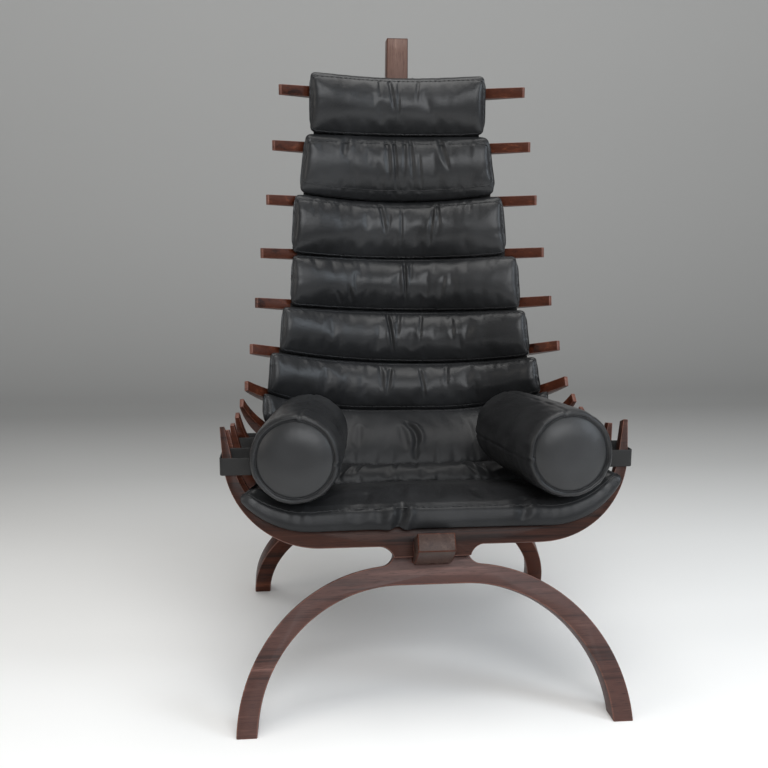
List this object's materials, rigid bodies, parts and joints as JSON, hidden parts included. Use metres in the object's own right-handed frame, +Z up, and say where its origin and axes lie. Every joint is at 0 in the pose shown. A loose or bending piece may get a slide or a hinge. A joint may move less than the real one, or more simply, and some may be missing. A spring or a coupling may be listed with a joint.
{
  "type": "high-back wooden lounge chair",
  "caption": "High-back lounge chair with a curved wooden spine, curved horned ribs, arched leg frames, a channelled leather cushion and strapped leather bolsters as armrests.",
  "frame": {"origin": "on the floor, midway across the chair and midway between the front edge of the front feet and the back of the spine", "axes": "+X across the chair, to the right of someone who looks at its front; +Y from the front of the seat to the back; +Z up"},
  "size_m": [0.689, 0.7269, 1.1797],
  "materials": {
    "rosewood": "dark reddish brown wood with fine grain, satin lacquer",
    "plug_wood": "dark end-grain plugs, satin lacquer",
    "black_leather": "soft black leather, semi-gloss",
    "panel_leather": "black leather, smooth and a little duller",
    "steel": "plain zinc-plated screws and bolts"
  },
  "bodies": {
    "chair": {"spine": "rosewood", "rib_01": "rosewood", "rib_02": "rosewood", "rib_03": "rosewood", "rib_04": "rosewood", "rib_05": "rosewood", "rib_06": "rosewood", "rib_07": "rosewood", "rib_08": "rosewood", "rib_09": "rosewood", "rib_10": "rosewood", "rib_11": "rosewood", "rib_12": "rosewood", "front_leg_frame": "rosewood", "rear_leg_frame": "rosewood", "rib_screws": "steel", "screw_plugs": "plug_wood", "front_rib_screws": "steel", "leg_bolts": "steel", "leg_bolt_washers": "steel", "leg_bolt_inserts": "steel", "head_pad": "black_leather", "back_pad_2": "black_leather", "back_pad_3": "black_leather", "back_pad_4": "black_leather", "back_pad_5": "black_leather", "back_pad_6": "black_leather", "lumbar_pad": "black_leather", "rear_seat_pad": "black_leather", "front_seat_pad": "black_leather", "head_pad_hanger": "black_leather"},
    "left_bolster_body": {"left_bolster": "black_leather", "left_bolster_end_panels": "panel_leather", "left_bolster_piping": "black_leather", "left_front_strap": "black_leather", "left_rear_strap": "black_leather"},
    "right_bolster_body": {"right_bolster": "black_leather", "right_bolster_end_panels": "panel_leather", "right_bolster_piping": "black_leather", "right_front_strap": "black_leather", "right_rear_strap": "black_leather"}
  },
  "joints": [
    {"name": "left_bolster_lift", "type": "slide", "parent": "chair", "child": "left_bolster_body", "axis": [-0.4461, -0.1861, 0.8754], "range_m": [0, 0.114]},
    {"name": "right_bolster_lift", "type": "slide", "parent": "chair", "child": "right_bolster_body", "axis": [0.4461, -0.1861, 0.8754], "range_m": [0, 0.114]}
  ]
}
